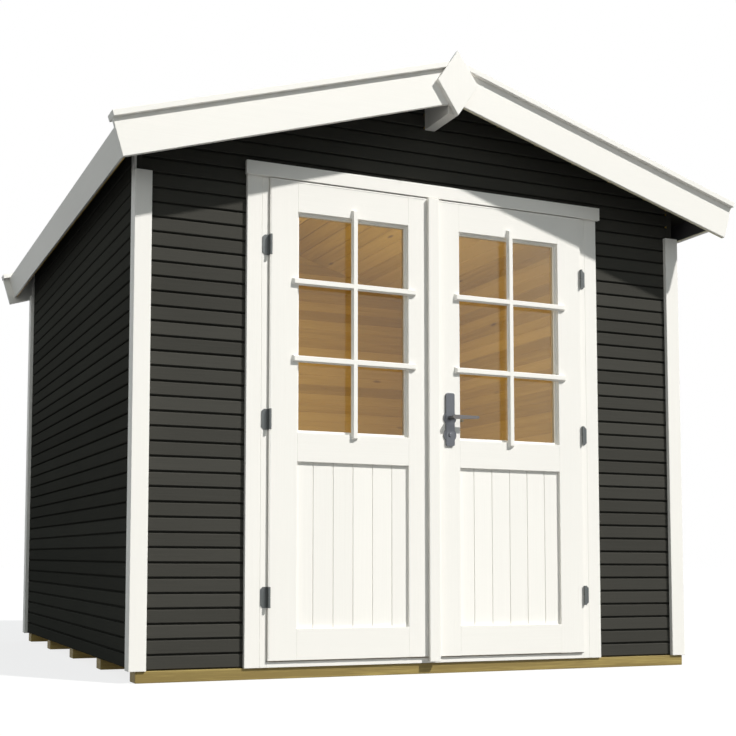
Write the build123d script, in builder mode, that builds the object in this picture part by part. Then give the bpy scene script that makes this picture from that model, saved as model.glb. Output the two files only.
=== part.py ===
from build123d import *
import math
import os

# Garden shed of timber boards with a double door, millimetres.
# +X runs to the right seen from the front, the front faces -Y, +Z is up.
# The origin lies under the middle of the whole shed, at the foot of the bearers.

# Overall sizes of the walls
wall_width = 2550.0
wall_depth = 2330.0
eave_height = 2046.0
wall_thickness = 28.0

# Floor and bearers
bearer_width = 78.0
bearer_height = 45.0
bearer_count = 5
bearer_front_proud = 8.0
bearer_rear_setback = 22.0
bearer_shift = 10.0
floor_thickness = 19.0

# Roof: pitch, boards and felt
roof_pitch = 16.5
roof_board_thickness = 18.0
felt_thickness = 3.0
front_overhang = 195.0
rear_overhang = 100.0
purlin_width = 48.0
purlin_height = 172.0

# Roof edge: bargeboards, the flat strips on top of them, fascias and finials
barge_width = 145.0
barge_thickness = 19.0
barge_drop = 124.0
barge_past_fascia = 35.0
strip_width = 72.0
strip_thickness = 23.0
strip_proud = 18.0
fascia_width = 113.0
fascia_thickness = 18.0
eave_overhang = 141.0
finial_half_width = 94.0
finial_half_height = 137.0
finial_proud = 4.0
finial_above_strip = 38.0

# Corner trims, two boards joined as an angle
trim_face = 68.0
trim_return = 42.0
trim_thickness = 18.0
trim_top_gap = 132.0

# Door frame and casings
leaf_width = 733.0
leaf_height = 1915.0
leaf_thickness = 40.0
leaf_proud = 12.0
door_gap = 5.0
meeting_gap = 9.0
frame_proud = 18.0
frame_inside = 12.0
jamb_width = 30.0
stop_depth = 10.0
sill_height = 22.0
head_height = 48.0
casing_width = 62.0
casing_thickness = 18.0
lintel_width = 56.0
lintel_overrun = 10.0
lintel_above_head = 8.0
lintel_thickness = 18.0

# Door leaves
stile_width = 117.0
top_rail_width = 124.0
lock_rail_width = 117.0
bottom_rail_width = 123.0
glass_opening_height = 892.0
glass_thickness = 4.0
glass_setback = 26.0
panel_thickness = 14.0
panel_setback = 12.0
astragal_width = 50.0
astragal_overlap = 34.0
astragal_thickness = 18.0
astragal_clearance = 5.0
astragal_below_foot = 20.0

# Hinges
hinge_from_foot = 246.0
hinge_from_head = 270.0
hinge_length = 82.0
hinge_plate_width = 28.0
hinge_plate_thickness = 2.5
hinge_reach = 8.0
hinge_corner = 10.0
knuckle_radius = 5.0
pin_radius = 3.0
pin_clearance = 0.3

# Handle set on the right leaf
handle_height = 990.0
handle_backset = 67.0
plate_width = 41.0
plate_height = 224.0
plate_thickness = 8.0
plate_above_handle = 105.0
boss_radius = 26.0
boss_thickness = 5.0
neck_radius = 9.0
neck_length = 42.0
lever_reach = 110.0
lever_root_radius = 9.0
lever_tip_radius = 5.5
lever_tip_rise = 3.0
lever_depth = 12.0
spindle_radius = 4.0
cylinder_radius = 8.5
cylinder_drop = 72.0
cylinder_proud = 4.0
bore_clearance = 0.5

# Places that follow from the sizes above
half_width = wall_width / 2
barge_front = front_overhang + barge_thickness
front_reach = barge_front + strip_proud + finial_proud
rear_reach = rear_overhang + barge_thickness + strip_proud + finial_proud
front_face = front_reach - (front_reach + wall_depth + rear_reach) / 2
back_face = front_face + wall_depth
first_bearer = front_face - bearer_front_proud + bearer_width / 2
last_bearer = back_face - bearer_rear_setback - bearer_width / 2
bearer_pitch = (last_bearer - first_bearer) / (bearer_count - 1)
wall_foot = bearer_height
slope = math.radians(roof_pitch)
rise = math.tan(slope)
roof_underside = wall_foot + eave_height + half_width * rise
barge_apex = roof_underside - barge_drop / math.cos(slope)
roof_top = barge_drop + roof_board_thickness + felt_thickness
fascia_face = (half_width + eave_overhang - barge_drop * math.sin(slope)) / math.cos(slope) - 25.0
barge_end = fascia_face + barge_past_fascia
roof_front = front_face - front_overhang
roof_rear = back_face + rear_overhang
opening_half = meeting_gap / 2 + leaf_width + door_gap
frame_half = opening_half + jamb_width
leaf_foot = wall_foot + sill_height + door_gap
leaf_head = leaf_foot + leaf_height
head_foot = leaf_head + door_gap
opening_head = head_foot + head_height
hinge_low = leaf_foot + hinge_from_foot
hinge_high = leaf_head - hinge_from_head
hinge_heights = (hinge_low, (hinge_low + hinge_high) / 2, hinge_high)
leaf_front = front_face - frame_proud - leaf_proud
leaf_back = leaf_front + leaf_thickness
stop_front = leaf_back + door_gap
frame_back = front_face + wall_thickness + frame_inside
pin_x = opening_half - door_gap / 2
pin_y = leaf_front - hinge_reach
handle_x = meeting_gap / 2 + handle_backset
handle_z = leaf_foot + handle_height


def slope_point(along, above, side):
    """Point of a roof slope: distance down from the ridge, height above the barge's lower edge."""
    x = along * math.cos(slope) + above * math.sin(slope)
    z = barge_apex - along * math.sin(slope) + above * math.cos(slope)
    return (side * x, z)


def ridge_point(above):
    """Point on the middle plane of the roof, on the line that lies so far above the barge's edge."""
    return (0, barge_apex + above / math.cos(slope))


def slope_outline(low, high, end, side):
    """Outline of a board that runs down one slope from the ridge, cut square at its end."""
    return [ridge_point(low), slope_point(end, low, side), slope_point(end, high, side),
            ridge_point(high)]


def underside_height(x):
    """Height of the underside of the roof boards at a distance from the middle."""
    return roof_underside - abs(x) * rise


def front_plane(y):
    """Upright plane that faces the front: drawn in X and Z, extruded towards -Y."""
    return Plane(origin=(0, y, 0), x_dir=(1, 0, 0), z_dir=(0, -1, 0))


def save(piece, name):
    """Label one piece and write it."""
    piece.part.label = name
    export_step(piece.part, "parts/" + name + ".step")


os.makedirs("parts", exist_ok=True)

# Bearers: raw timbers across the shed, evenly spaced from front to back
with BuildPart() as bearers:
    for index in range(bearer_count):
        y = first_bearer + index * bearer_pitch
        with Locations((bearer_shift, y, 0)):
            Box(wall_width, bearer_width, bearer_height,
                align=(Align.CENTER, Align.CENTER, Align.MIN))
save(bearers, "bearers")

# Floor boards between the walls, notched round the door frame
with BuildPart() as floor:
    with BuildSketch(Plane.XY.offset(wall_foot)) as floor_plan:
        with Locations((0, front_face + wall_depth / 2)):
            Rectangle(wall_width - 2 * wall_thickness, wall_depth - 2 * wall_thickness)
        with Locations((0, front_face + wall_thickness)):
            Rectangle(2 * frame_half, frame_inside, align=(Align.CENTER, Align.MIN), mode=Mode.SUBTRACT)
    extrude(amount=floor_thickness)
save(floor, "floor")

# Side walls: full depth, with their tops cut to the slope of the roof
for side, name in ((-1, "left_wall"), (1, "right_wall")):
    with BuildPart() as side_wall:
        with BuildSketch(front_plane(back_face)) as side_section:
            with BuildLine() as side_outline:
                outer = side * half_width
                inner = side * (half_width - wall_thickness)
                Polyline([(outer, wall_foot), (inner, wall_foot), (inner, underside_height(inner)),
                          (outer, underside_height(outer))], close=True)
            make_face()
        extrude(amount=wall_depth)
    save(side_wall, name)

# Back wall with its gable, let in round the ridge purlin
inner_half = half_width - wall_thickness
purlin_foot = roof_underside - purlin_height
with BuildPart() as back_wall:
    with BuildSketch(front_plane(back_face)) as back_section:
        with BuildLine() as back_outline:
            Polyline([(-inner_half, wall_foot), (inner_half, wall_foot),
                      (inner_half, underside_height(inner_half)), (0, roof_underside),
                      (-inner_half, underside_height(inner_half))], close=True)
        make_face()
        with Locations((0, purlin_foot)):
            Rectangle(purlin_width, purlin_height, align=(Align.CENTER, Align.MIN), mode=Mode.SUBTRACT)
    extrude(amount=wall_thickness)
save(back_wall, "back_wall")

# Front wall: one piece at each side of the doorway and the gable over it
for side, name in ((-1, "front_wall_left"), (1, "front_wall_right")):
    with BuildPart() as front_wall:
        with BuildSketch(front_plane(front_face + wall_thickness)) as front_section:
            with BuildLine() as front_outline:
                outer = side * inner_half
                inner = side * frame_half
                Polyline([(outer, wall_foot), (inner, wall_foot), (inner, underside_height(inner)),
                          (outer, underside_height(outer))], close=True)
            make_face()
        extrude(amount=wall_thickness)
    save(front_wall, name)

with BuildPart() as front_gable:
    with BuildSketch(front_plane(front_face + wall_thickness)) as gable_section:
        with BuildLine() as gable_outline:
            Polyline([(-frame_half, opening_head), (frame_half, opening_head),
                      (frame_half, underside_height(frame_half)), (0, roof_underside),
                      (-frame_half, underside_height(frame_half))], close=True)
        make_face()
        with Locations((0, purlin_foot)):
            Rectangle(purlin_width, purlin_height, align=(Align.CENTER, Align.MIN), mode=Mode.SUBTRACT)
    extrude(amount=wall_thickness)
save(front_gable, "front_gable")

# Corner trims: two boards in an angle round each corner, stopping short of the roof
trim_top = wall_foot + eave_height - trim_top_gap
for side, side_name in ((-1, "left"), (1, "right")):
    for face, turn, end_name in ((front_face, -1, "front"), (back_face, 1, "back")):
        with BuildPart() as trim:
            with BuildSketch(Plane.XY.offset(wall_foot)) as trim_section:
                with BuildLine() as trim_outline:
                    outer = side * (half_width + trim_thickness)
                    corner = side * half_width
                    far = side * (half_width + trim_thickness - trim_face)
                    proud = face + turn * trim_thickness
                    back = proud - turn * (trim_return + trim_thickness)
                    Polyline([(outer, proud), (far, proud), (far, face), (corner, face),
                              (corner, back), (outer, back)], close=True)
                make_face()
            extrude(amount=trim_top - wall_foot)
        save(trim, "trim_" + end_name + "_" + side_name)

# Door frame: rebated jambs, head and sill; the deeper part behind is the stop
for side, name in ((-1, "jamb_left"), (1, "jamb_right")):
    with BuildPart() as jamb:
        with BuildSketch(Plane.XY.offset(wall_foot)) as jamb_section:
            with BuildLine() as jamb_outline:
                outer = side * frame_half
                inner = side * opening_half
                stop = side * (opening_half - stop_depth)
                Polyline([(outer, front_face - frame_proud), (inner, front_face - frame_proud),
                          (inner, stop_front), (stop, stop_front), (stop, frame_back),
                          (outer, frame_back)], close=True)
            make_face()
        extrude(amount=head_foot - wall_foot)
    save(jamb, name)

with BuildPart() as head:
    with BuildSketch(Plane.YZ.offset(-frame_half)) as head_section:
        with BuildLine() as head_outline:
            Polyline([(front_face - frame_proud, head_foot), (frame_back, head_foot),
                      (frame_back, opening_head), (front_face - frame_proud, opening_head)], close=True)
        make_face()
    extrude(amount=2 * frame_half)
    with BuildSketch(Plane.YZ.offset(stop_depth - opening_half)) as head_stop:
        with Locations((stop_front, head_foot)):
            Rectangle(frame_back - stop_front, stop_depth, align=(Align.MIN, Align.MAX))
    extrude(amount=2 * (opening_half - stop_depth))
save(head, "door_head")

with BuildPart() as sill:
    with BuildSketch(Plane.YZ.offset(-opening_half)) as sill_section:
        with BuildLine() as sill_outline:
            sill_front = front_face - frame_proud
            sill_back = front_face + wall_thickness
            sill_top = wall_foot + sill_height
            Polyline([(sill_front, wall_foot), (sill_back, wall_foot), (sill_back, sill_top + stop_depth),
                      (stop_front, sill_top + stop_depth), (stop_front, sill_top),
                      (sill_front, sill_top)], close=True)
        make_face()
    extrude(amount=2 * opening_half)
    with BuildSketch(Plane.XY.offset(wall_foot)) as sill_corners:
        for side in (-1, 1):
            with Locations((side * opening_half, stop_front)):
                Rectangle(2 * stop_depth, frame_back - stop_front, align=(Align.CENTER, Align.MIN))
    extrude(amount=sill_height + stop_depth, mode=Mode.SUBTRACT)
save(sill, "door_sill")

# Casings over the joint of frame and wall, and the lintel board across their tops
for side, name in ((-1, "casing_left"), (1, "casing_right")):
    with BuildPart() as casing:
        with BuildSketch(Plane.XY.offset(wall_foot)) as casing_section:
            with Locations((side * (frame_half + casing_width / 2), front_face - casing_thickness / 2)):
                Rectangle(casing_width, casing_thickness)
        extrude(amount=opening_head - wall_foot)
    save(casing, name)

with BuildPart() as lintel_board:
    with BuildSketch(front_plane(front_face - frame_proud)) as lintel_section:
        with Locations((0, opening_head + lintel_above_head)):
            Rectangle(2 * (frame_half + casing_width + lintel_overrun), lintel_width,
                      align=(Align.CENTER, Align.MAX))
    extrude(amount=lintel_thickness)
save(lintel_board, "lintel_board")

# Ridge purlin: its top is cut to both slopes and its ends reach the bargeboards
with BuildPart() as purlin:
    with BuildSketch(front_plane(roof_rear)) as purlin_section:
        with BuildLine() as purlin_outline:
            half = purlin_width / 2
            Polyline([(-half, purlin_foot), (half, purlin_foot), (half, underside_height(half)),
                      (0, roof_underside), (-half, underside_height(half))], close=True)
        make_face()
    extrude(amount=roof_rear - roof_front)
save(purlin, "ridge_purlin")

# Roof boards, one slope each, meeting on the ridge line
for side, name in ((-1, "roof_boards_left"), (1, "roof_boards_right")):
    with BuildPart() as roof_boards:
        with BuildSketch(front_plane(roof_rear)) as roof_section:
            with BuildLine() as roof_outline:
                Polyline(slope_outline(barge_drop, barge_drop + roof_board_thickness,
                                       fascia_face - fascia_thickness, side), close=True)
            make_face()
        extrude(amount=roof_rear - roof_front)
    save(roof_boards, name)

# Felt over both slopes, tucked behind the upper edges of the fascias
with BuildPart() as felt:
    with BuildSketch(front_plane(roof_rear)) as felt_section:
        with BuildLine() as felt_outline:
            low = roof_top - felt_thickness
            tuck = fascia_face - fascia_thickness
            Polyline([ridge_point(low), slope_point(tuck, low, 1), slope_point(tuck, roof_top, 1),
                      ridge_point(roof_top), slope_point(tuck, roof_top, -1),
                      slope_point(tuck, low, -1)], close=True)
        make_face()
    extrude(amount=roof_rear - roof_front)
save(felt, "roof_felt")

# Fascias along the eaves, square to the slope and over the ends of the roof boards
for side, name in ((-1, "fascia_left"), (1, "fascia_right")):
    with BuildPart() as fascia:
        with BuildSketch(front_plane(roof_rear)) as fascia_section:
            with BuildLine() as fascia_outline:
                high = roof_top
                low = high - fascia_width
                near = fascia_face - fascia_thickness
                Polyline([slope_point(near, low, side), slope_point(fascia_face, low, side),
                          slope_point(fascia_face, high, side), slope_point(near, high, side)],
                         close=True)
            make_face()
        extrude(amount=roof_rear - roof_front)
    save(fascia, name)

# Bargeboards on both gables, and the flat strips that cap them and hold the felt.
# Each strip is notched at the ridge round the finial plate that stands in front of the barges.
finial_centre = ridge_point(roof_top + strip_thickness)[1] + finial_above_strip - finial_half_height
finial_corners = [(0, finial_centre + finial_half_height), (finial_half_width, finial_centre),
                  (0, finial_centre - finial_half_height), (-finial_half_width, finial_centre)]
for side, side_name in ((-1, "left"), (1, "right")):
    for start, turn, end_name in ((roof_front, -1, "front"), (roof_rear, 1, "rear")):
        with BuildPart() as barge:
            with BuildSketch(front_plane(start)) as barge_section:
                with BuildLine() as barge_outline:
                    Polyline(slope_outline(roof_top - barge_width, roof_top, barge_end, side), close=True)
                make_face()
            extrude(amount=-turn * barge_thickness)
        save(barge, "barge_" + end_name + "_" + side_name)
        with BuildPart() as strip:
            with BuildSketch(front_plane(start + turn * (barge_thickness + strip_proud))) as strip_section:
                with BuildLine() as strip_outline:
                    Polyline(slope_outline(roof_top, roof_top + strip_thickness, barge_end, side),
                             close=True)
                make_face()
            extrude(amount=turn * strip_width)
            with BuildSketch(front_plane(start + turn * barge_thickness)) as strip_notch:
                with BuildLine() as strip_notch_outline:
                    Polyline(finial_corners, close=True)
                make_face()
            extrude(amount=-turn * strip_proud, mode=Mode.SUBTRACT)
        save(strip, "strip_" + end_name + "_" + side_name)

# Finials: lozenge plates over the joint of the bargeboards, between the ends of the strips
for start, turn, name in ((roof_front, -1, "finial_front"), (roof_rear, 1, "finial_rear")):
    with BuildPart() as finial:
        with BuildSketch(front_plane(start + turn * barge_thickness)) as finial_section:
            with BuildLine() as finial_outline:
                Polyline(finial_corners, close=True)
            make_face()
        extrude(amount=-turn * (strip_proud + finial_proud))
    save(finial, name)

# Hinges: the lower half stands on the frame and carries the pin
frame_plate_face = front_face - frame_proud
for side, side_name in ((-1, "left"), (1, "right")):
    with BuildPart() as frame_hinges:
        for height in hinge_heights:
            foot = height - hinge_length / 2
            half_knuckle = hinge_length / 2 - 0.5
            with BuildSketch(Plane.XY.offset(foot)) as plate_section:
                with BuildLine() as plate_outline:
                    wing = opening_half + hinge_plate_width
                    inside = opening_half - 0.2
                    thick = hinge_plate_thickness
                    Polyline([(side * wing, frame_plate_face), (side * inside, frame_plate_face),
                              (side * inside, pin_y), (side * (inside + thick), pin_y),
                              (side * (inside + thick), frame_plate_face - thick),
                              (side * wing, frame_plate_face - thick)], close=True)
                make_face()
            extrude(amount=hinge_length)
            with BuildSketch(front_plane(frame_plate_face)) as corner_section:
                for edge, way in ((foot, 1), (foot + hinge_length, -1)):
                    with BuildLine() as corner_outline:
                        Polyline([(side * wing, edge), (side * (wing - hinge_corner), edge),
                                  (side * wing, edge + way * hinge_corner)], close=True)
                    make_face()
            extrude(amount=hinge_plate_thickness, mode=Mode.SUBTRACT)
            with BuildSketch(Plane.XY.offset(foot)) as knuckle_section:
                with Locations((side * pin_x, pin_y)):
                    Circle(knuckle_radius)
            extrude(amount=half_knuckle)
            with BuildSketch(Plane.XY.offset(foot)) as pin_section:
                with Locations((side * pin_x, pin_y)):
                    Circle(pin_radius)
            extrude(amount=hinge_length - 4)
            with BuildSketch(Plane.XY.offset(foot + half_knuckle)) as room_section:
                with Locations((side * pin_x, pin_y)):
                    Circle(knuckle_radius + 1)
                    Circle(pin_radius, mode=Mode.SUBTRACT)
            extrude(amount=hinge_length, mode=Mode.SUBTRACT)
    save(frame_hinges, "frame_hinges_" + side_name)

# Door leaves: stiles, rails, boarded panel, glass and the upper halves of the hinges
lock_rail_top = leaf_head - top_rail_width - glass_opening_height
for side, side_name in ((-1, "left"), (1, "right")):
    near = side * meeting_gap / 2
    hung = side * (meeting_gap / 2 + leaf_width)
    with BuildPart() as stiles:
        for start, turn in ((near, 1), (hung, -1)):
            with BuildSketch(front_plane(leaf_back)) as stile_section:
                with Locations((start + side * turn * stile_width / 2, (leaf_foot + leaf_head) / 2)):
                    Rectangle(stile_width, leaf_height)
            extrude(amount=leaf_thickness)
        if side == 1:
            with BuildSketch(front_plane(leaf_back)) as stile_bores:
                with Locations((handle_x, handle_z)):
                    Circle(spindle_radius + 1)
                with Locations((handle_x, handle_z - cylinder_drop)):
                    Circle(cylinder_radius + bore_clearance)
            extrude(amount=leaf_thickness, mode=Mode.SUBTRACT)
    save(stiles, side_name + "_leaf_stiles")

    clear_width = leaf_width - 2 * stile_width
    leaf_middle = side * (meeting_gap / 2 + leaf_width / 2)
    with BuildPart() as rails:
        with BuildSketch(front_plane(leaf_back)) as rail_section:
            with Locations((leaf_middle, leaf_head)):
                Rectangle(clear_width, top_rail_width, align=(Align.CENTER, Align.MAX))
            with Locations((leaf_middle, lock_rail_top)):
                Rectangle(clear_width, lock_rail_width, align=(Align.CENTER, Align.MAX))
            with Locations((leaf_middle, leaf_foot)):
                Rectangle(clear_width, bottom_rail_width, align=(Align.CENTER, Align.MIN))
        extrude(amount=leaf_thickness)
    save(rails, side_name + "_leaf_rails")

    panel_foot = leaf_foot + bottom_rail_width
    panel_height = lock_rail_top - lock_rail_width - panel_foot
    with BuildPart() as panel:
        with BuildSketch(front_plane(leaf_front + panel_setback + panel_thickness)) as panel_section:
            with Locations((leaf_middle, panel_foot)):
                Rectangle(clear_width, panel_height, align=(Align.CENTER, Align.MIN))
        extrude(amount=panel_thickness)
    save(panel, side_name + "_leaf_panel")

    with BuildPart() as glass:
        with BuildSketch(front_plane(leaf_front + glass_setback + glass_thickness)) as glass_section:
            with Locations((leaf_middle, lock_rail_top)):
                Rectangle(clear_width, glass_opening_height, align=(Align.CENTER, Align.MIN))
        extrude(amount=glass_thickness)
    save(glass, side_name + "_leaf_glass")

    with BuildPart() as leaf_hinges:
        for height in hinge_heights:
            foot = height + 0.5
            tall = hinge_length / 2 - 0.5
            with BuildSketch(Plane.XY.offset(foot)) as leaf_plate_section:
                with Locations((side * pin_x, pin_y)):
                    Circle(knuckle_radius)
                with Locations((side * (meeting_gap / 2 + leaf_width + 1), pin_y)):
                    Rectangle(2, leaf_thickness * 0.8, align=(Align.CENTER, Align.MIN))
            extrude(amount=tall)
            with BuildSketch(Plane.XY.offset(foot)) as leaf_bore_section:
                with Locations((side * pin_x, pin_y)):
                    Circle(pin_radius + pin_clearance)
            extrude(amount=tall, mode=Mode.SUBTRACT)
    save(leaf_hinges, side_name + "_leaf_hinges")

# Astragal: it is fixed to the right leaf and laps over the edge of the left one
with BuildPart() as astragal:
    with BuildSketch(Plane.XY.offset(leaf_foot - astragal_below_foot)) as astragal_section:
        with BuildLine() as astragal_outline:
            left = -astragal_overlap
            right = astragal_width - astragal_overlap
            nose = leaf_front - astragal_thickness
            lap = leaf_front - astragal_clearance
            Polyline([(left, nose), (right, nose), (right, leaf_front), (meeting_gap / 2, leaf_front),
                      (meeting_gap / 2, lap), (left, lap)], close=True)
        make_face()
    extrude(amount=leaf_height + astragal_below_foot)
save(astragal, "astragal")

# Handle plates outside and inside, each on two round bosses and with holes for neck and cylinder
with BuildPart() as handle_plates:
    for face in (leaf_front, leaf_back + boss_thickness):
        with BuildSketch(front_plane(face)) as boss_face:
            for drop in (0, cylinder_drop):
                with Locations((handle_x, handle_z - drop)):
                    Circle(boss_radius)
            with Locations((handle_x, handle_z)):
                Circle(neck_radius + bore_clearance, mode=Mode.SUBTRACT)
            with Locations((handle_x, handle_z - cylinder_drop)):
                Circle(cylinder_radius + bore_clearance, mode=Mode.SUBTRACT)
        extrude(amount=boss_thickness)
    for face in (leaf_front, leaf_back + plate_thickness):
        with BuildSketch(front_plane(face)) as plate_face:
            with Locations((handle_x, handle_z + plate_above_handle)):
                RectangleRounded(plate_width, plate_height, 9, align=(Align.CENTER, Align.MAX))
            with Locations((handle_x, handle_z)):
                Circle(neck_radius + bore_clearance, mode=Mode.SUBTRACT)
            with Locations((handle_x, handle_z - cylinder_drop)):
                Circle(cylinder_radius + bore_clearance, mode=Mode.SUBTRACT)
        extrude(amount=plate_thickness)
save(handle_plates, "handle_plates")

# Lever: outer and inner grips on one spindle
with BuildPart() as lever:
    spindle_foot = leaf_back + plate_thickness + neck_length
    spindle_long = leaf_thickness + 2 * (plate_thickness + neck_length)
    with BuildSketch(front_plane(spindle_foot)) as spindle_section:
        with Locations((handle_x, handle_z)):
            Circle(spindle_radius)
    extrude(amount=spindle_long)
    neck_full = neck_length + plate_thickness - 0.5
    for start in (spindle_foot, leaf_front - 0.5):
        with BuildSketch(front_plane(start)) as neck_section:
            with Locations((handle_x, handle_z)):
                Circle(neck_radius)
        extrude(amount=neck_full)
    for start in (spindle_foot, spindle_foot - spindle_long + lever_depth):
        with BuildSketch(front_plane(start)) as grip_section:
            with Locations((handle_x, handle_z)):
                Circle(lever_root_radius)
            with Locations((handle_x + lever_reach, handle_z + lever_tip_rise)):
                Circle(lever_tip_radius)
            make_hull()
        extrude(amount=lever_depth)
save(lever, "lever")

# Lock cylinder through both plates
with BuildPart() as cylinder:
    with BuildSketch(front_plane(leaf_back + plate_thickness + cylinder_proud)) as cylinder_section:
        with Locations((handle_x, handle_z - cylinder_drop)):
            Circle(cylinder_radius)
    extrude(amount=leaf_thickness + 2 * (plate_thickness + cylinder_proud))
save(cylinder, "lock_cylinder")
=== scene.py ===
"""Looks of a timber garden shed: dark boarded walls, white trims and a glazed double door.

Metres, +X right seen from the front, the front faces -Y, +Z up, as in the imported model.
"""
import math
import random

import bmesh
import bpy
from mathutils import Matrix, Vector


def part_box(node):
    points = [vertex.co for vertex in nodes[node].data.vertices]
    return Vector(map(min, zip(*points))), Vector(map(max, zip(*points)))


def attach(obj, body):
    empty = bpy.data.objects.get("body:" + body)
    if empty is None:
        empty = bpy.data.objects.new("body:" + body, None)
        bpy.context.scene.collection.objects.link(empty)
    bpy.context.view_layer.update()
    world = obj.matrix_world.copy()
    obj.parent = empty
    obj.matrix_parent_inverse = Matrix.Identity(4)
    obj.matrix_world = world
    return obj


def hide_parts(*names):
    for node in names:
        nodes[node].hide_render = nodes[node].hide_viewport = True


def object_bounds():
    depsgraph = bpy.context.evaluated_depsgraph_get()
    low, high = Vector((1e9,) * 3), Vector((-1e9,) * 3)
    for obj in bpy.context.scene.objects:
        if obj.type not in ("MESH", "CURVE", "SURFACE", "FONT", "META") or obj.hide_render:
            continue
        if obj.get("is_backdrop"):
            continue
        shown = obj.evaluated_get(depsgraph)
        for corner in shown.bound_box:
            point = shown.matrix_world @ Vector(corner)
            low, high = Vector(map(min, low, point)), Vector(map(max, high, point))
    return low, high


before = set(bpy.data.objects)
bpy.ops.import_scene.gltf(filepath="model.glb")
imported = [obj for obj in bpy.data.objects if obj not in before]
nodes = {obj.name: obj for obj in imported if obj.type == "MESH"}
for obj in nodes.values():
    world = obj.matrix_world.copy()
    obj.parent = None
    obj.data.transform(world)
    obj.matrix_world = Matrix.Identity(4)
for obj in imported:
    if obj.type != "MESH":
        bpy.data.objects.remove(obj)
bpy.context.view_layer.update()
random.seed(7)

# Sizes that the boards repeat by
COURSE = 0.058
ROOF_BOARD = 0.096
FLOOR_BOARD = 0.114
PANEL_BOARD = 0.088
PANEL_BOARDS = 6
PITCH = math.radians(16.5)
RISE = math.tan(PITCH)

# Open joints between boards: depth and width of the joint, bevel of the edges beside it
WALL_JOINT = (0.013, 0.007, 0.003)
ROOF_JOINT = (0.006, 0.002, 0.003)
FLOOR_JOINT = (0.006, 0.002, 0.0015)
PANEL_JOINT = (0.004, 0.001, 0.002)
ROOM_BEVEL = 0.002              # edges of the wall boards on the room side

# Walls and roof
CORNER_STRIP = 0.042            # how far the corner posts reach along the side walls
GABLE_SHORT = {-1: 0.011, 1: 0.027}     # how far inside the side walls' faces gable boards end
POST_TONE = 0.7
ROOF_THICK = 0.018
FELT_THICK = 0.003
ROOF_CLEAR = 0.001              # between what stands under the roof and its boards
SAME = 1e-4                     # heights nearer than this are one height

# Strips of other colour along the lower edges of bargeboards and fascias: bare pine on the left
# fascia; on the right bargeboards and right fascia a pale cream that is painted light from the left
BARGE_OUTER_SHARE = 0.35
FASCIA_INNER_SHARE = 0.45
EDGE_DEPTH = 0.003

# Boards above the left corner trims: thickness, reach from the trims' inner side, lap on the trims
HEAD_THICK = 0.009
FRONT_HEAD_REACH = 0.042
BATTEN_REACH = 0.039
BACK_HEAD_REACH = 0.016
HEAD_LAP = 0.0005

# Glazing bars and beads
LEVEL_BARS = (0.330, 0.680)     # heights of the level bars, as shares of the pane
BAR_BASE = 0.014                # half width at the leaf's face
BAR_NOSE = 0.0085               # half width at the front
LEVEL_PROUD = 0.015
UPRIGHT_PROUD = 0.0152
BAR_PAST_FOOT = 0.020
BAR_PAST_HEAD = 0.032
BAR_PAST_LEFT = 0.025
BAR_PAST_RIGHT = 0.032
BEAD = 0.010
BEAD_SETBACK = 0.001

# Packing strips that narrow the joints round the leaves
DOOR_GAP = 0.005
PACKING_FRONT = 0.0048          # behind the lintel's face
PACKING_REAR = 0.010            # short of the leaves' rear face
PACKING_GAP = 0.0012            # over the leaves
EDGE_STRIP = 0.0032
EDGE_STRIP_FRONT = 0.0012
EDGE_STRIP_REAR = 0.003

# Round rosettes on the handle plate: radius and height over the leaf of each ring of points
LEVER_ABOVE_LOCK = 0.072
ROSETTE_RINGS = ((0.024, 0.0), (0.024, 0.0058), (0.0285, 0.0058), (0.030, 0.0044), (0.030, 0.0))
ROSETTE_SIDES = 48

# Camera: frame, focal length and optical centre in pixels; turns in degrees; place
PHOTO_SIZE = 736
FOCAL = 1146.5
CENTRE_X, CENTRE_Y = 264.2, 478.4
CAMERA_YAW, CAMERA_PITCH, CAMERA_ROLL = 21.2028, 3.9734, 0.3536
CAMERA_PLACE = (-2.3816, -5.3251, 0.4712)
SENSOR = 36.0

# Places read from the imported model
front_low, front_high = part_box("front_wall_left")
purlin_low, purlin_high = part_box("ridge_purlin")
HALF = -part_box("left_wall")[0].x
FRONT = front_low.y
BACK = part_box("back_wall")[1].y
WALL = front_high.y - front_low.y
FOOT = front_low.z
FRAME_HALF = -front_high.x
OPENING_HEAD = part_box("front_gable")[0].z
APEX = purlin_high.z
EAVE = APEX - HALF * RISE
PURLIN_HALF = purlin_high.x


# Mesh helpers

def new_piece(name, bm, materials, body, slot, replaced=()):
    """Makes an object of a mesh in the row frame and ties it to its body and CAD nodes."""
    bmesh.ops.recalc_face_normals(bm, faces=bm.faces)
    mesh = bpy.data.meshes.new(name)
    bm.to_mesh(mesh)
    bm.free()
    for material in materials:
        mesh.materials.append(material)
    for face in mesh.polygons:
        face.use_smooth = False
    piece = bpy.data.objects.new(name, mesh)
    bpy.context.scene.collection.objects.link(piece)
    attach(piece, body)
    if replaced:
        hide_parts(*replaced)


def add_prism(bm, start, end, side_materials=None, cap_material=0, tone=0.5):
    """Adds a closed prism between two loops of points; the face layer tone holds its own tone."""
    layer = bm.faces.layers.float.get("tone") or bm.faces.layers.float.new("tone")
    count = len(start)
    first = [bm.verts.new(p) for p in start]
    last = [bm.verts.new(p) for p in end]
    made = []
    for i in range(count):
        j = (i + 1) % count
        face = bm.faces.new((first[i], first[j], last[j], last[i]))
        face.material_index = side_materials[i] if side_materials else 0
        made.append(face)
    for loop in (list(reversed(first)), last):
        face = bm.faces.new(loop)
        face.material_index = cap_material
        made.append(face)
    for face in made:
        face[layer] = tone


def add_run(bm, section, place, start, end, *looks):
    """Adds a prism of one section from start to end; place makes a point of (a, b, distance)."""
    add_prism(bm, [place(a, b, start) for a, b in section], [place(a, b, end) for a, b in section],
              *looks)


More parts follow.
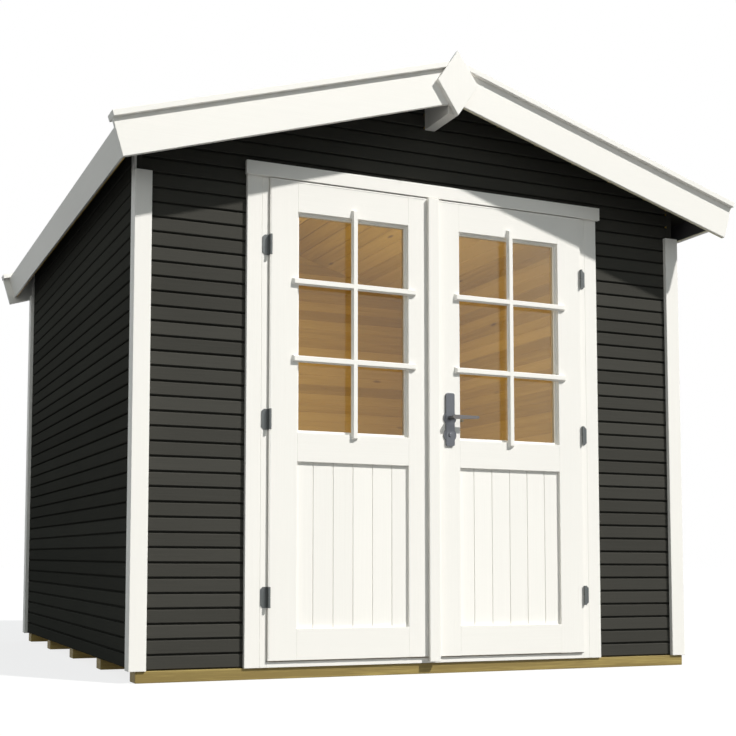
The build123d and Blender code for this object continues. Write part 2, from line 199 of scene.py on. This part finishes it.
def add_block(bm, low, high):
    """Adds a box between two corners."""
    section = [(low[0], low[1]), (high[0], low[1]), (high[0], high[1]), (low[0], high[1])]
    add_run(bm, section, lambda x, y, z: Vector((x, y, z)), low[2], high[2])


def board_profile(low, high, thick, joint, low_edge=True, high_edge=True, room_bevel=0.0):
    """Section of one board: (depth from its face, height), with an open joint at its real edges."""
    groove, gap, bevel = joint
    if room_bevel and low_edge:
        points = [(thick - room_bevel, low), (thick, low + room_bevel)]
    else:
        points = [(thick, low)]
    if room_bevel and high_edge:
        points += [(thick, high - room_bevel), (thick - room_bevel, high)]
    else:
        points += [(thick, high)]
    if high_edge:
        points += [(groove, high), (groove, high - gap / 2), (bevel, high - gap / 2),
                   (0, high - gap / 2 - bevel)]
    else:
        points += [(0, high)]
    if low_edge:
        points += [(0, low + gap / 2 + bevel), (bevel, low + gap / 2), (groove, low + gap / 2),
                   (groove, low)]
    else:
        points += [(0, low)]
    return points


def room_sides(section):
    """Material index for each side of a wall board's section: 1 on the room side, 0 elsewhere."""
    deep = [depth > WALL - ROOM_BEVEL - SAME for depth, height in section]
    return [1 if a and b else 0 for a, b in zip(deep, deep[1:] + deep[:1])]


def courses(low, high, step, cuts=()):
    """Boards from low to high, cut at given heights: (index, low, high, low edge, high edge)."""
    slabs = []
    start = low
    index = 0
    while start < high - SAME:
        end = min(low + (index + 1) * step, high)
        marks = [start] + sorted(c for c in cuts if start + 1e-3 < c < end - 1e-3) + [end]
        for a, b in zip(marks, marks[1:]):
            slabs.append((index, a, b, a == start, b == end and end < high - SAME))
        start = end
        index += 1
    return slabs


def softened(node, width=0.002):
    """A copy of a CAD node's mesh with its sharp edges eased, as a bmesh."""
    bm = bmesh.new()
    bm.from_mesh(nodes[node].data)
    bmesh.ops.remove_doubles(bm, verts=bm.verts, dist=2e-5)
    bmesh.ops.dissolve_limit(bm, angle_limit=0.02, verts=bm.verts, edges=bm.edges)
    sharp = [e for e in bm.edges if len(e.link_faces) == 2 and e.calc_face_angle() > 0.5]
    bmesh.ops.bevel(bm, geom=sharp, offset=width, segments=2, profile=0.6,
                    affect="EDGES", clamp_overlap=True)
    return bm


def ease(node, material, body="shed", slot="white_paint", width=0.002):
    """Stands in for a CAD node with the same shape and eased edges."""
    new_piece(node + "_eased", softened(node, width), [material], body, slot, (node,))


def cut(bm, point, normal):
    """Divides the faces of a mesh along a plane."""
    bmesh.ops.bisect_plane(bm, geom=bm.verts[:] + bm.edges[:] + bm.faces[:],
                           plane_co=Vector(point), plane_no=Vector(normal))


# Materials

def material_nodes(name):
    """A new material with its node tree, principled shader and a helper that adds nodes."""
    material = bpy.data.materials.new(name)
    material.use_nodes = True
    tree = material.node_tree
    shader = tree.nodes["Principled BSDF"]

    def add(kind, links=None, **values):
        node = tree.nodes.new(kind)
        for key, value in values.items():
            setattr(node, key, value)
        for key, value in (links or {}).items():
            if isinstance(value, bpy.types.NodeSocket):
                tree.links.new(value, node.inputs[key])
            else:
                node.inputs[key].default_value = value
        return node

    return material, tree, shader, add


def ramp(add, factor, stops):
    """A colour ramp with the given stops."""
    node = add("ShaderNodeValToRGB", {"Fac": factor})
    elements = node.color_ramp.elements
    elements[0].position, elements[0].color = stops[0][0], (*stops[0][1], 1)
    elements[1].position, elements[1].color = stops[-1][0], (*stops[-1][1], 1)
    for position, colour in stops[1:-1]:
        element = elements.new(position)
        element.color = (*colour, 1)
    return node.outputs["Color"]


def grain_vector(add, axis, along=1.2, across=60.0):
    """Object coordinates squeezed so that noise runs along the boards."""
    place = add("ShaderNodeTexCoord")
    scale = [across] * 3
    scale["XYZ".index(axis)] = along
    mapping = add("ShaderNodeMapping", {"Vector": place.outputs["Object"], "Scale": scale})
    return mapping.outputs["Vector"]


def add_relief(add, tree, shader, height, strength, distance):
    """Bump on a shader."""
    relief = add("ShaderNodeBump", {"Height": height, "Strength": strength, "Distance": distance})
    tree.links.new(relief.outputs["Normal"], shader.inputs["Normal"])


def painted_wood(name, colour, axis, rough, contrast, bump, gloss=0.2):
    """Painted planed timber: faint grain in the paint, a slightly different tone on each board."""
    material, tree, shader, add = material_nodes(name)
    grain = add("ShaderNodeTexNoise", {"Vector": grain_vector(add, axis), "Scale": 3.0,
                                       "Detail": 6.0, "Roughness": 0.6})
    cloud = add("ShaderNodeTexNoise", {"Scale": 1.6, "Detail": 3.0})
    tree.links.new(add("ShaderNodeTexCoord").outputs["Object"], cloud.inputs["Vector"])
    tone = add("ShaderNodeAttribute", attribute_name="tone")
    blend = add("ShaderNodeMath", {0: grain.outputs["Fac"], 1: cloud.outputs["Fac"]},
                operation="ADD")
    blend = add("ShaderNodeMath", {0: blend.outputs[0], 1: tone.outputs["Fac"]}, operation="ADD")
    level = add("ShaderNodeMapRange", {"Value": blend.outputs[0], "From Min": 0.9,
                                       "From Max": 2.1})
    dark = [c * (1 - contrast) for c in colour]
    light = [min(c * (1 + contrast), 1.0) for c in colour]
    tree.links.new(ramp(add, level.outputs[0], [(0, dark), (0.5, colour), (1, light)]),
                   shader.inputs["Base Color"])
    shine = add("ShaderNodeMapRange", {"Value": cloud.outputs["Fac"], "To Min": rough - 0.07,
                                       "To Max": rough + 0.07})
    tree.links.new(shine.outputs[0], shader.inputs["Roughness"])
    add_relief(add, tree, shader, grain.outputs["Fac"], 0.6, bump)
    shader.inputs["Specular IOR Level"].default_value = gloss
    return material


def bare_wood(name, axis, pale, mid, dark, knots=True):
    """Untreated timber with long grain, growth bands and a few knots."""
    material, tree, shader, add = material_nodes(name)
    vector = grain_vector(add, axis, 0.9, 22.0)
    fine = add("ShaderNodeTexNoise", {"Vector": grain_vector(add, axis, 3.0, 160.0), "Scale": 3.0,
                                      "Detail": 5.0})
    bands = add("ShaderNodeTexNoise", {"Vector": vector, "Scale": 1.6, "Detail": 3.0,
                                       "Distortion": 0.6})
    tone = add("ShaderNodeAttribute", attribute_name="tone")
    blend = add("ShaderNodeMath", {0: bands.outputs["Fac"], 1: fine.outputs["Fac"]},
                operation="ADD")
    blend = add("ShaderNodeMath", {0: blend.outputs[0], 1: tone.outputs["Fac"]}, operation="ADD")
    level = add("ShaderNodeMapRange", {"Value": blend.outputs[0], "From Min": 0.95,
                                       "From Max": 2.05})
    colour = ramp(add, level.outputs[0], [(0, dark), (0.5, mid), (1, pale)])
    if knots:
        spots = grain_vector(add, axis, 1.6, 5.5)
        cells = add("ShaderNodeTexVoronoi", {"Vector": spots, "Scale": 1.5, "Randomness": 1.0})
        ring = add("ShaderNodeMapRange", {"Value": cells.outputs["Distance"], "From Min": 0.03,
                                          "From Max": 0.10})
        mix = add("ShaderNodeMix", {"Factor": ring.outputs[0]}, data_type="RGBA")
        mix.inputs["A"].default_value = (dark[0] * 0.45, dark[1] * 0.35, dark[2] * 0.3, 1)
        tree.links.new(colour, mix.inputs["B"])
        colour = mix.outputs["Result"]
    tree.links.new(colour, shader.inputs["Base Color"])
    add_relief(add, tree, shader, fine.outputs["Fac"], 0.5, 0.0008)
    shader.inputs["Roughness"].default_value = 0.6
    return material


def felt_material():
    """Bitumen felt with mineral granules."""
    material, tree, shader, add = material_nodes("roofing_felt_mat")
    place = add("ShaderNodeTexCoord").outputs["Object"]
    grit = add("ShaderNodeTexNoise", {"Vector": place, "Scale": 900.0, "Detail": 2.0})
    cloud = add("ShaderNodeTexNoise", {"Vector": place, "Scale": 2.2, "Detail": 5.0})
    total = add("ShaderNodeMath", {0: grit.outputs["Fac"], 1: cloud.outputs["Fac"]},
                operation="ADD")
    level = add("ShaderNodeMapRange", {"Value": total.outputs[0], "From Min": 0.6,
                                       "From Max": 1.4})
    stops = [(0, (0.028, 0.03, 0.033)), (1, (0.10, 0.105, 0.11))]
    tree.links.new(ramp(add, level.outputs[0], stops), shader.inputs["Base Color"])
    add_relief(add, tree, shader, grit.outputs["Fac"], 0.8, 0.001)
    shader.inputs["Roughness"].default_value = 0.9
    return material


def metal_material(name, colour, rough):
    """Satin metal with faint brushing."""
    material, tree, shader, add = material_nodes(name)
    vector = grain_vector(add, "Z", 20.0, 900.0)
    brush = add("ShaderNodeTexNoise", {"Vector": vector, "Scale": 2.0, "Detail": 3.0})
    shine = add("ShaderNodeMapRange", {"Value": brush.outputs["Fac"], "To Min": rough - 0.08,
                                       "To Max": rough + 0.1})
    tree.links.new(shine.outputs[0], shader.inputs["Roughness"])
    stops = [(0.3, [c * 0.85 for c in colour]), (0.7, [min(c * 1.12, 1) for c in colour])]
    tree.links.new(ramp(add, brush.outputs["Fac"], stops), shader.inputs["Base Color"])
    add_relief(add, tree, shader, brush.outputs["Fac"], 0.2, 0.0002)
    shader.inputs["Metallic"].default_value = 1.0
    return material


def glass_material():
    """Clear pane: mostly see-through, with gloss at its faces and a faint waviness."""
    material, tree, shader, add = material_nodes("window_glass_mat")
    place = add("ShaderNodeTexCoord").outputs["Object"]
    waves = add("ShaderNodeTexNoise", {"Vector": place, "Scale": 2.5, "Detail": 1.0})
    clear = add("ShaderNodeBsdfTransparent", {"Color": (0.93, 0.90, 0.79, 1)})
    gloss = add("ShaderNodeBsdfGlossy", {"Color": (1, 1, 1, 1), "Roughness": 0.02})
    add_relief(add, tree, gloss, waves.outputs["Fac"], 0.15, 0.004)
    edge = add("ShaderNodeFresnel", {"IOR": 1.5})
    mix = add("ShaderNodeMixShader", {0: edge.outputs[0], 1: clear.outputs[0],
                                      2: gloss.outputs[0]})
    tree.links.new(mix.outputs[0], tree.nodes["Material Output"].inputs["Surface"])
    tree.nodes.remove(shader)
    return material


DARK = (0.059, 0.057, 0.050)
WHITE = (0.905, 0.88, 0.835)
PINE = ((0.66, 0.46, 0.13), (0.56, 0.375, 0.085), (0.42, 0.265, 0.05))
BEARER = ((0.68, 0.58, 0.27), (0.47, 0.36, 0.11), (0.22, 0.155, 0.04))
# Pale cream on the inner lower edges of the right bargeboards and right fascia: painted light, warm
# light from the left falling on their undersides
PAINTED_LIGHT_EDGE = ((0.88, 0.86, 0.70), (0.82, 0.79, 0.62), (0.68, 0.64, 0.46))
siding = {a: painted_wood("dark_siding_" + a, DARK, a, 0.75, 0.13, 0.0009, 0.0) for a in "XYZ"}
# Dark paint inside the fascias, about twice as light as the siding: painted light standing in for
# light in the deep shade behind the fascias
painted_light_lining = painted_wood("dark_painted_light_lining_mat", (0.13, 0.124, 0.128), "Y", 0.75, 0.13, 0.0009, 0.0)
white = {a: painted_wood("white_paint_" + a, WHITE, a, 0.42, 0.025, 0.0005) for a in "XYZ"}
pine = {a: bare_wood("bare_pine_" + a, a, *PINE) for a in "XYZ"}
bearer_wood = bare_wood("bearer_timber_mat", "X", *BEARER)
# Grained like bare wood, but its pale cream is painted light
painted_light_edge = bare_wood("painted_light_edge_mat", "X", *PAINTED_LIGHT_EDGE, knots=False)
felt = felt_material()
hinge_metal = metal_material("hinge_steel_mat", (0.135, 0.145, 0.145), 0.34)
handle_metal = metal_material("handle_metal_mat", (0.150, 0.158, 0.172), 0.34)
# A lighter, warmer copy of the handle metal for the lever: painted highlight, standing in for the
# light along its top
lever_painted_highlight_metal = metal_material("lever_painted_highlight_metal_mat", (0.185, 0.178, 0.175), 0.30)
glass = glass_material()


# Walls of boards

def wall_board(low, high, low_edge, high_edge):
    """Section of one wall board."""
    return board_profile(low, high, WALL, WALL_JOINT, low_edge, high_edge, ROOM_BEVEL)


def board_end(z, side):
    """X of a gable board's end: under the roof, or just inside the side wall's outer face."""
    return side * min(HALF - GABLE_SHORT[side], (APEX - z) / RISE)


def gable_boards(name, face, inward, replaced, doorway):
    """Boards of a gable wall; inward is +1 where depth grows along +Y."""
    bm = bmesh.new()
    top = APEX - PURLIN_HALF * RISE - ROOF_CLEAR
    cuts = [EAVE, purlin_low.z] + ([OPENING_HEAD] if doorway else [])
    tones = {}
    for index, low, high, low_edge, high_edge in courses(FOOT, top, COURSE, cuts):
        tone = tones.setdefault(index, random.random())
        inner = 0.0
        if doorway and high <= OPENING_HEAD + SAME:
            inner = FRAME_HALF
        elif low >= purlin_low.z - SAME:
            inner = PURLIN_HALF
        section = wall_board(low, high, low_edge, high_edge)
        sides = room_sides(section)
        ends = {side: [Vector((board_end(z, side), face + inward * d, z)) for d, z in section]
                for side in (-1, 1)}
        if inner:
            for side in (-1, 1):
                start = [Vector((side * inner, face + inward * d, z)) for d, z in section]
                add_prism(bm, start, ends[side], sides, 0, tone)
        else:
            add_prism(bm, ends[-1], ends[1], sides, 0, tone)
    new_piece(name, bm, [siding["X"], pine["X"]], "shed", "dark_siding", replaced)


def side_boards(side, name):
    """Boards of a side wall between its corner posts."""
    def place(depth, z, y):
        return Vector((side * (HALF - depth), y, z))

    bm = bmesh.new()
    for _, low, high, low_edge, high_edge in courses(FOOT, EAVE, COURSE):
        section = wall_board(low, high, low_edge, high_edge)
        if not high_edge:
            section[section.index((WALL, high))] = (WALL, high + WALL * RISE)
        add_run(bm, section, place, FRONT + CORNER_STRIP, BACK - CORNER_STRIP,
                room_sides(section), 0, random.random())
    for face, turn in ((FRONT, 1), (BACK, -1)):
        for near, far, deep in ((0, WALL, GABLE_SHORT[side]), (WALL, CORNER_STRIP, WALL)):
            post = [(0, FOOT), (deep, FOOT), (deep, EAVE + deep * RISE), (0, EAVE)]
            add_run(bm, post, place, face + turn * near, face + turn * far, [2, 1, 2, 2], 2,
                    POST_TONE)
    new_piece(name.replace("wall", "siding"), bm, [siding["Y"], pine["Y"], siding["Z"]], "shed",
              "dark_siding", (name,))


gable_boards("front_siding", FRONT, 1, ("front_wall_left", "front_wall_right", "front_gable"), True)
gable_boards("back_siding", BACK, -1, ("back_wall",), False)
side_boards(-1, "left_wall")
side_boards(1, "right_wall")


# Roof boards, felt and floor

def slope_frame(side):
    """The boards' underside at the ridge, and unit vectors down a slope and out of it."""
    down = Vector((side * math.cos(PITCH), 0, -math.sin(PITCH)))
    out = Vector((side * math.sin(PITCH), 0, math.cos(PITCH)))
    return Vector((0, 0, APEX)), down, out


def slope_place(side):
    """Makes a point of (height over the underside, distance down, Y), with a plumb cut at 0."""
    origin, down, out = slope_frame(side)

    def place(depth, along, y):
        along = along or -depth * math.tan(PITCH)
        return origin + down * along + out * depth + Vector((0, y, 0))

    return place


for side, name in ((-1, "roof_boards_left"), (1, "roof_boards_right")):
    low_corner, high_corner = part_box(name)
    width = max(abs(low_corner.x), abs(high_corner.x))
    long = (width - ROOF_THICK * math.sin(PITCH)) / math.cos(PITCH)
    wall_line = HALF / math.cos(PITCH)
    spans = ((low_corner.y, FRONT, False), (FRONT, BACK, True), (BACK, high_corner.y, False))
    place = slope_place(side)
    bm = bmesh.new()
    for index, low, high, low_edge, high_edge in courses(0, long, ROOF_BOARD, [wall_line]):
        section = board_profile(low, high, ROOF_THICK, ROOF_JOINT, low_edge and index > 0,
                                high_edge)
        tone = random.random()
        for y0, y1, indoors in spans:
            material = 0 if indoors and low < wall_line - SAME else 1
            add_run(bm, section, place, y0, y1, [material] * len(section), material, tone)
    new_piece(name.replace("roof_", "roof_deck_"), bm, [pine["Y"], siding["Y"]], "shed",
              "bare_pine", (name,))

# Three sheets a side, each lapping the one below: start and end down the slope, underside, top
felt_low, felt_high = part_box("roof_felt")
felt_long = (felt_high.x - (ROOF_THICK + FELT_THICK) * math.sin(PITCH)) / math.cos(PITCH)
felt_sheets = ((0.60, felt_long, 0.0, 0.0012), (0.10, 0.70, 0.0012, 0.0022),
               (0.0, 0.16, 0.0022, 0.003))
bm = bmesh.new()
for side in (-1, 1):
    for start, end, under, over in felt_sheets:
        n0, n1 = ROOF_THICK + under, ROOF_THICK + over
        add_run(bm, [(n0, start), (n0, end), (n1, end), (n1, start)], slope_place(side),
                felt_low.y, felt_high.y)
new_piece("felt_sheets", bm, [felt], "shed", "roofing_felt", ("roof_felt",))

floor_low, floor_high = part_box("floor")
floor_thick = floor_high.z - floor_low.z
frame_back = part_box("jamb_left")[1].y
bm = bmesh.new()
for _, low, high, low_edge, high_edge in courses(floor_low.y, floor_high.y, FLOOR_BOARD,
                                                 [frame_back]):
    section = board_profile(low, high, floor_thick, FLOOR_JOINT, low_edge, high_edge)
    spans = [(floor_low.x, floor_high.x)]
    if high <= frame_back + SAME:
        spans = [(floor_low.x, -FRAME_HALF), (FRAME_HALF, floor_high.x)]
    for x0, x1 in spans:
        add_run(bm, section, lambda depth, y, x: Vector((x, y, floor_high.z - depth)), x0, x1,
                None, 0, random.random())
new_piece("floor_boards", bm, [pine["X"]], "shed", "bare_pine", ("floor",))


# Timbers whose CAD shape stays, with eased edges

def barge_edges(node, turn):
    """A right-hand bargeboard with a pale cream strip along the inner part of its lower edge:
    painted light from the left.
    """
    origin, _, out = slope_frame(1)
    bm = softened(node)
    low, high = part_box(node)
    outer, rear = (low.y, high.y) if turn > 0 else (high.y, low.y)
    middle = outer + (rear - outer) * BARGE_OUTER_SHARE
    foot = min((v.co - origin).dot(out) for v in bm.verts)
    cut(bm, (0, middle, 0), (0, 1, 0))
    for face in bm.faces:
        centre = face.calc_center_median()
        low_down = (centre - origin).dot(out) < foot + EDGE_DEPTH
        if (centre.y - middle) * turn > 0 and low_down:
            face.material_index = 1
    new_piece(node + "_eased", bm, [white["X"], painted_light_edge], "shed", "white_paint", (node,))


def fascia_edges(side, node):
    """A fascia: white outside; inside a dark paint made lighter than the siding, painted light for
    its deep shade; the inner half of its lower edge bare pine on the left and a pale cream painted
    light on the right.
    """
    origin, down, out = slope_frame(side)
    bm = softened(node)
    outer = max((v.co - origin).dot(down) for v in bm.verts)
    inner = min((v.co - origin).dot(down) for v in bm.verts)
    foot = min((v.co - origin).dot(out) for v in bm.verts)
    middle = inner + (outer - inner) * FASCIA_INNER_SHARE
    cut(bm, origin + down * middle, down)
    for face in bm.faces:
        centre = face.calc_center_median() - origin
        if face.normal.dot(down) < -0.7:
            face.material_index = 1
        elif centre.dot(down) < middle and centre.dot(out) < foot + EDGE_DEPTH:
            face.material_index = 2
    # Left fascia: bare pine. Right fascia: pale cream painted light from the left
    edge = pine["Y"] if side < 0 else painted_light_edge
    new_piece(node + "_eased", bm, [white["Y"], painted_light_lining, edge], "shed", "white_paint", (node,))


for node in ("trim_front_left", "trim_front_right", "trim_back_left", "trim_back_right",
             "jamb_left", "jamb_right", "casing_left", "casing_right"):
    ease(node, white["Z"])
for node in ("door_head", "door_sill", "lintel_board", "barge_front_left", "barge_rear_left",
             "strip_front_left", "strip_front_right", "strip_rear_left", "strip_rear_right"):
    ease(node, white["X"])
barge_edges("barge_front_right", 1)
barge_edges("barge_rear_right", -1)
fascia_edges(-1, "fascia_left")
fascia_edges(1, "fascia_right")
for node in ("finial_front", "finial_rear"):
    ease(node, white["Z"], width=0.003)

# Above the left corner trims thin white boards go on up to the roof, the front one on a batten

trim_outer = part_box("trim_front_left")[0].x
trim_split = trim_outer + HEAD_THICK
for node, tail, turn, reach, x0, x1, material, slot in (
        ("trim_front_left", "_head", 1, FRONT_HEAD_REACH, trim_outer, trim_split,
         white["Z"], "white_paint"),
        ("trim_front_left", "_batten", 1, BATTEN_REACH, trim_split, -HALF,
         siding["Z"], "dark_siding"),
        ("trim_back_left", "_head", -1, BACK_HEAD_REACH, trim_split, -HALF,
         white["Z"], "white_paint")):
    low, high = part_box(node)
    inner = high.y if turn > 0 else low.y
    foot = high.z - HEAD_LAP
    section = [(x0, foot), (x1, foot), (x1, EAVE + (x1 + HALF) * RISE - ROOF_CLEAR),
               (x0, EAVE + (x0 + HALF) * RISE - ROOF_CLEAR)]
    bm = bmesh.new()
    add_run(bm, section, lambda x, z, y: Vector((x, y, z)), inner - turn * reach, inner)
    new_piece(node + tail, bm, [material], "shed", slot)

bm = softened("ridge_purlin")
for y in (FRONT, BACK):
    cut(bm, (0, y, 0), (0, 1, 0))
for face in bm.faces:
    face.material_index = 1 if FRONT < face.calc_center_median().y < BACK else 0
new_piece("ridge_purlin_eased", bm, [white["Y"], pine["Y"]], "shed", "bare_pine",
          ("ridge_purlin",))
ease("bearers", bearer_wood, slot="bearer_timber", width=0.003)


# Door leaves

def add_bar(bm, place, start, end, proud):
    """Adds a glazing bar with sloping sides and ends; place takes (along, across, out)."""
    slant = BAR_BASE - BAR_NOSE
    loops = []
    for half, inset, out in ((BAR_BASE, 0.0, 0.0), (BAR_NOSE, slant, proud)):
        corners = ((start + inset, -half), (end - inset, -half), (end - inset, half),
                   (start + inset, half))
        loops.append([place(along, across, out) for along, across in corners])
    add_prism(bm, *loops)


for side_name in ("left", "right"):
    body = side_name + "_leaf"
    ease(body + "_stiles", white["Z"], body, width=0.0015)
    ease(body + "_rails", white["X"], body, width=0.0015)

    low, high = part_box(body + "_panel")
    middle = (low.x + high.x) / 2
    inner_edges = [middle + (i - 2) * PANEL_BOARD for i in range(PANEL_BOARDS - 1)]
    edges = [low.x] + inner_edges + [high.x]
    bm = bmesh.new()
    for i in range(PANEL_BOARDS):
        section = board_profile(edges[i], edges[i + 1], high.y - low.y, PANEL_JOINT, i > 0,
                                i < PANEL_BOARDS - 1)
        add_run(bm, section, lambda depth, x, z: Vector((x, low.y + depth, z)), low.z, high.z,
                None, 0, random.random())
    new_piece(body + "_panel_boards", bm, [white["Z"]], body, "white_paint", (body + "_panel",))

    pane_low, pane_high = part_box(body + "_glass")
    leaf_low, leaf_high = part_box(body + "_stiles")
    middle = (pane_low.x + pane_high.x) / 2
    bm = bmesh.new()
    add_bar(bm, lambda along, across, out: Vector((middle + across, leaf_low.y - out, along)),
            pane_low.z - BAR_PAST_FOOT, pane_high.z + BAR_PAST_HEAD, UPRIGHT_PROUD)
    for share in LEVEL_BARS:
        bar_z = pane_low.z + (pane_high.z - pane_low.z) * share
        add_bar(bm, lambda along, across, out: Vector((along, leaf_low.y - out, bar_z + across)),
                pane_low.x - BAR_PAST_LEFT, pane_high.x + BAR_PAST_RIGHT, LEVEL_PROUD)
    new_piece(body + "_glazing_bars", bm, [white["Z"]], body, "white_paint")

    bm = bmesh.new()
    inner_low, inner_high = pane_low.x + BEAD, pane_high.x - BEAD
    for x0, x1, z0, z1 in ((pane_low.x, inner_low, pane_low.z, pane_high.z),
                           (inner_high, pane_high.x, pane_low.z, pane_high.z),
                           (inner_low, inner_high, pane_low.z, pane_low.z + BEAD),
                           (inner_low, inner_high, pane_high.z - BEAD, pane_high.z)):
        add_block(bm, (x0, pane_low.y - BEAD, z0), (x1, pane_low.y, z1))
        add_block(bm, (x0, pane_high.y, z0), (x1, leaf_high.y - BEAD_SETBACK, z1))
    new_piece(body + "_glazing_beads", bm, [white["Z"]], body, "white_paint")

    nodes[body + "_glass"].data.materials.clear()
    nodes[body + "_glass"].data.materials.append(glass)
    ease(body + "_hinges", hinge_metal, body, "hinge_steel", 0.0004)
    ease("frame_hinges_" + side_name, hinge_metal, "shed", "hinge_steel", 0.0004)

# Packing over the leaves and strips on their hinge sides

left_low, left_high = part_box("left_leaf_stiles")
opening_side = left_low.x - DOOR_GAP
packing_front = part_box("lintel_board")[0].y + PACKING_FRONT
bm = bmesh.new()
add_block(bm, (opening_side, packing_front, left_high.z + PACKING_GAP),
          (-opening_side, left_high.y - PACKING_REAR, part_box("door_head")[0].z))
new_piece("head_packing", bm, [white["X"]], "shed", "white_paint")
for side, body in ((-1, "left_leaf"), (1, "right_leaf")):
    near = side * -left_low.x
    far = near + side * EDGE_STRIP
    bm = bmesh.new()
    add_block(bm, (min(near, far), left_low.y + EDGE_STRIP_FRONT, left_low.z),
              (max(near, far), left_high.y - EDGE_STRIP_REAR, left_high.z))
    new_piece(body + "_edge_strip", bm, [white["Z"]], body, "white_paint")

# Meeting strip, handle and lock

ease("astragal", white["Z"], "right_leaf", width=0.003)
ease("handle_plates", handle_metal, "right_leaf", "handle_metal", 0.001)
# The lever takes the lighter metal copy: painted highlight
ease("lever", lever_painted_highlight_metal, "lever_body", "handle_metal", 0.002)

plate_low, plate_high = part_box("handle_plates")
cylinder_low, cylinder_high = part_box("lock_cylinder")
plate_middle = (plate_low.x + plate_high.x) / 2
lock_z = (cylinder_low.z + cylinder_high.z) / 2
right_leaf_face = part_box("right_leaf_stiles")[0].y
turns = [math.tau * i / ROSETTE_SIDES for i in range(ROSETTE_SIDES)]
bm = bmesh.new()
for z in (lock_z, lock_z + LEVER_ABOVE_LOCK):
    loops = [[bm.verts.new((plate_middle + radius * math.cos(t), right_leaf_face - out,
                            z + radius * math.sin(t))) for t in turns]
             for radius, out in ROSETTE_RINGS]
    for a, b in zip(loops, loops[1:] + loops[:1]):
        for i in range(ROSETTE_SIDES):
            j = (i + 1) % ROSETTE_SIDES
            bm.faces.new((a[i], a[j], b[j], b[i]))
new_piece("handle_rosettes", bm, [handle_metal], "right_leaf", "handle_metal")
ease("lock_cylinder", handle_metal, "right_leaf", "handle_metal", 0.001)


# Floor, light and camera

def background_rays(tree):
    """1 for the rays that see the background: camera, glossy and transmission rays."""
    path = tree.nodes.new("ShaderNodeLightPath")
    seen = path.outputs["Is Camera Ray"]
    for ray in ("Is Glossy Ray", "Is Transmission Ray"):
        either = tree.nodes.new("ShaderNodeMath")
        either.operation = "MAXIMUM"
        tree.links.new(seen, either.inputs[0])
        tree.links.new(path.outputs[ray], either.inputs[1])
        seen = either.outputs[0]
    return seen


def backdrop_material():
    """Pale floor that shows white to the camera and still takes the shed's shadow."""
    material, tree, shader, add = material_nodes("pale_floor")
    shader.inputs["Base Color"].default_value = (0.20, 0.20, 0.20, 1)
    shader.inputs["Roughness"].default_value = 1.0
    shader.inputs["Specular IOR Level"].default_value = 0.0
    glow = add("ShaderNodeMath", {0: background_rays(tree), 1: 0.80}, operation="MULTIPLY")
    tree.links.new(glow.outputs[0], shader.inputs["Emission Strength"])
    shader.inputs["Emission Color"].default_value = (1, 1, 1, 1)
    return material


bm = bmesh.new()
bmesh.ops.create_grid(bm, x_segments=1, y_segments=1, size=40)
mesh = bpy.data.meshes.new("studio_floor")
bm.to_mesh(mesh)
bm.free()
mesh.materials.append(backdrop_material())
studio_floor = bpy.data.objects.new("studio_floor", mesh)
bpy.context.scene.collection.objects.link(studio_floor)
studio_floor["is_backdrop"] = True

world = bpy.data.worlds.new("studio")
bpy.context.scene.world = world
world.use_nodes = True
tree = world.node_tree
ambient = tree.nodes["Background"]
ambient.inputs["Color"].default_value = (0.82, 0.96, 1.0, 1)
ambient.inputs["Strength"].default_value = 0.31
shown = tree.nodes.new("ShaderNodeBackground")
shown.inputs["Color"].default_value = (1, 1, 1, 1)
mix = tree.nodes.new("ShaderNodeMixShader")
for socket, source in enumerate((background_rays(tree), ambient.outputs[0], shown.outputs[0])):
    tree.links.new(source, mix.inputs[socket])
tree.links.new(mix.outputs[0], tree.nodes["World Output"].inputs["Surface"])


def add_lamp(name, kind, energy, colour, place, direction):
    """Adds a lamp whose light goes in a direction."""
    data = bpy.data.lights.new(name, kind)
    data.energy = energy
    data.color = colour
    lamp = bpy.data.objects.new(name, data)
    lamp.location = place
    lamp.rotation_euler = Vector(direction).to_track_quat("-Z", "Y").to_euler()
    bpy.context.scene.collection.objects.link(lamp)
    return lamp


key = add_lamp("key", "SUN", 4.0, (1.0, 0.985, 0.955), (5, -6, 7), (-0.82, 1.0, -1.20))
key.data.angle = math.radians(2.0)
fill = add_lamp("fill", "SUN", 0.38, (1.0, 0.98, 0.92), (-5, -7, 3), (0.58, 0.76, -0.26))
fill.data.angle = math.radians(50.0)
room_light = add_lamp("room_light", "POINT", 22, (1.0, 0.97, 0.9), (0, 0.1, 1.5), (0, 0, -1))
room_light.data.shadow_soft_size = 0.3
room_light.visible_camera = False
room_light.visible_glossy = False
room_light.visible_transmission = False

camera_data = bpy.data.cameras.new("camera")
camera_data.sensor_width = SENSOR
camera_data.lens = SENSOR * FOCAL / PHOTO_SIZE
camera_data.shift_x = (PHOTO_SIZE / 2 - CENTRE_X) / PHOTO_SIZE
camera_data.shift_y = (CENTRE_Y - PHOTO_SIZE / 2) / PHOTO_SIZE
camera_data.clip_end = 100
camera = bpy.data.objects.new("camera", camera_data)
bpy.context.scene.collection.objects.link(camera)
camera.location = CAMERA_PLACE
look = (Matrix.Rotation(math.radians(-CAMERA_YAW), 4, "Z")
        @ Matrix.Rotation(math.radians(90 + CAMERA_PITCH), 4, "X")
        @ Matrix.Rotation(math.radians(CAMERA_ROLL), 4, "Z"))
camera.rotation_euler = look.to_euler()
bpy.context.scene.camera = camera
bpy.context.scene.view_settings.view_transform = "Standard"

low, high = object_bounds()
